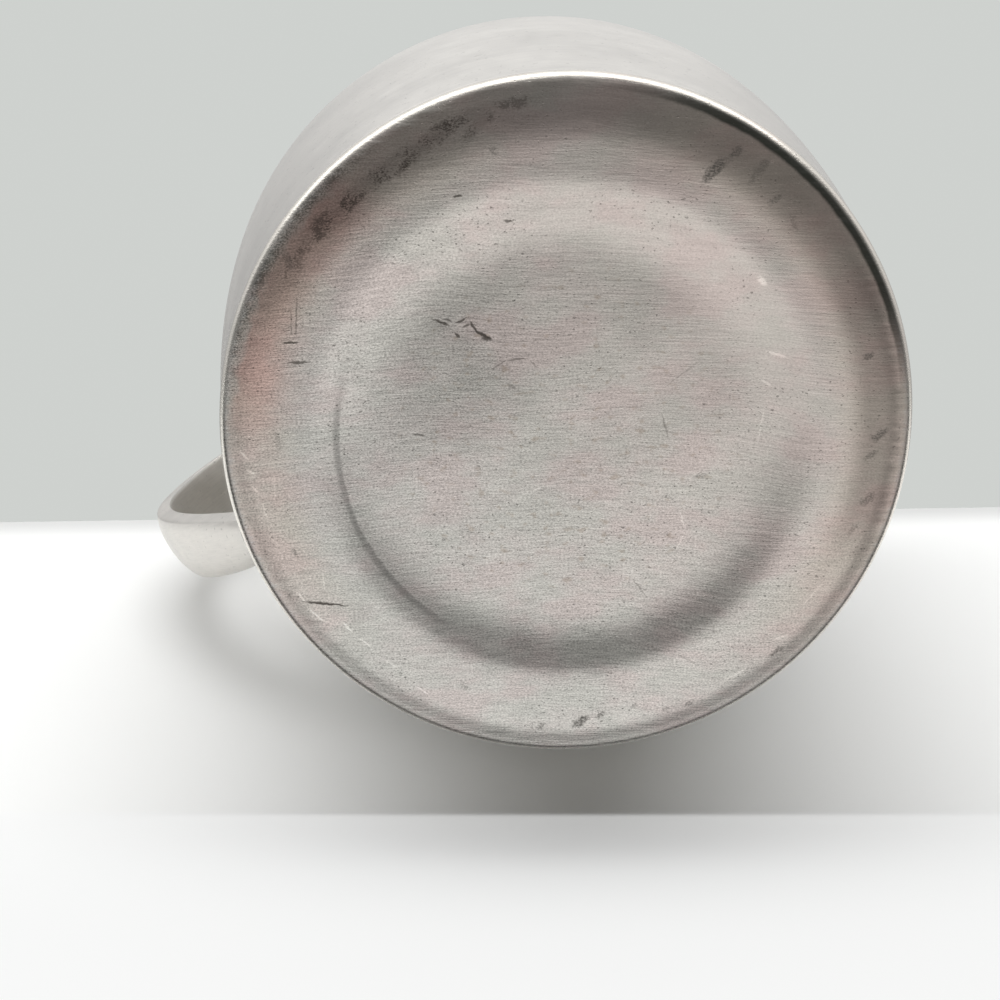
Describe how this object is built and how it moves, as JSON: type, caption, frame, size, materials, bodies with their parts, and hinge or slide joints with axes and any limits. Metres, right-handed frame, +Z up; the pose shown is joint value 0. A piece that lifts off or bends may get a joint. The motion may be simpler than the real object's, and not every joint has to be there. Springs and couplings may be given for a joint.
{
  "type": "pewter pitcher",
  "caption": "Small barrel-bodied pewter pitcher with a recessed base, a half-round bead at the mouth, a folded beak spout and an ear-shaped strap handle.",
  "frame": {"origin": "centre of the flat ring that the pitcher stands on, on the pitcher's own axis", "axes": "+Z up along the pitcher's axis, +X towards the spout, the handle towards -X"},
  "size_m": [0.1076, 0.0786, 0.1026],
  "materials": {
    "body_pewter": "satin spun pewter",
    "base_pewter": "worn pewter with fine straight brushing, pits and scratches",
    "bead_pewter": "satin pewter wire",
    "spout_pewter": "satin pewter sheet",
    "handle_pewter": "polished cast pewter",
    "solder": "dull grey solder"
  },
  "bodies": {
    "root": {"body": "body_pewter", "base": "base_pewter", "mouth_bead": "bead_pewter", "spout": "spout_pewter", "handle": "handle_pewter", "foot_solder": "solder", "spout_solder": "solder", "handle_solder_upper": "solder", "handle_solder_lower": "solder"}
  },
  "joints": []
}
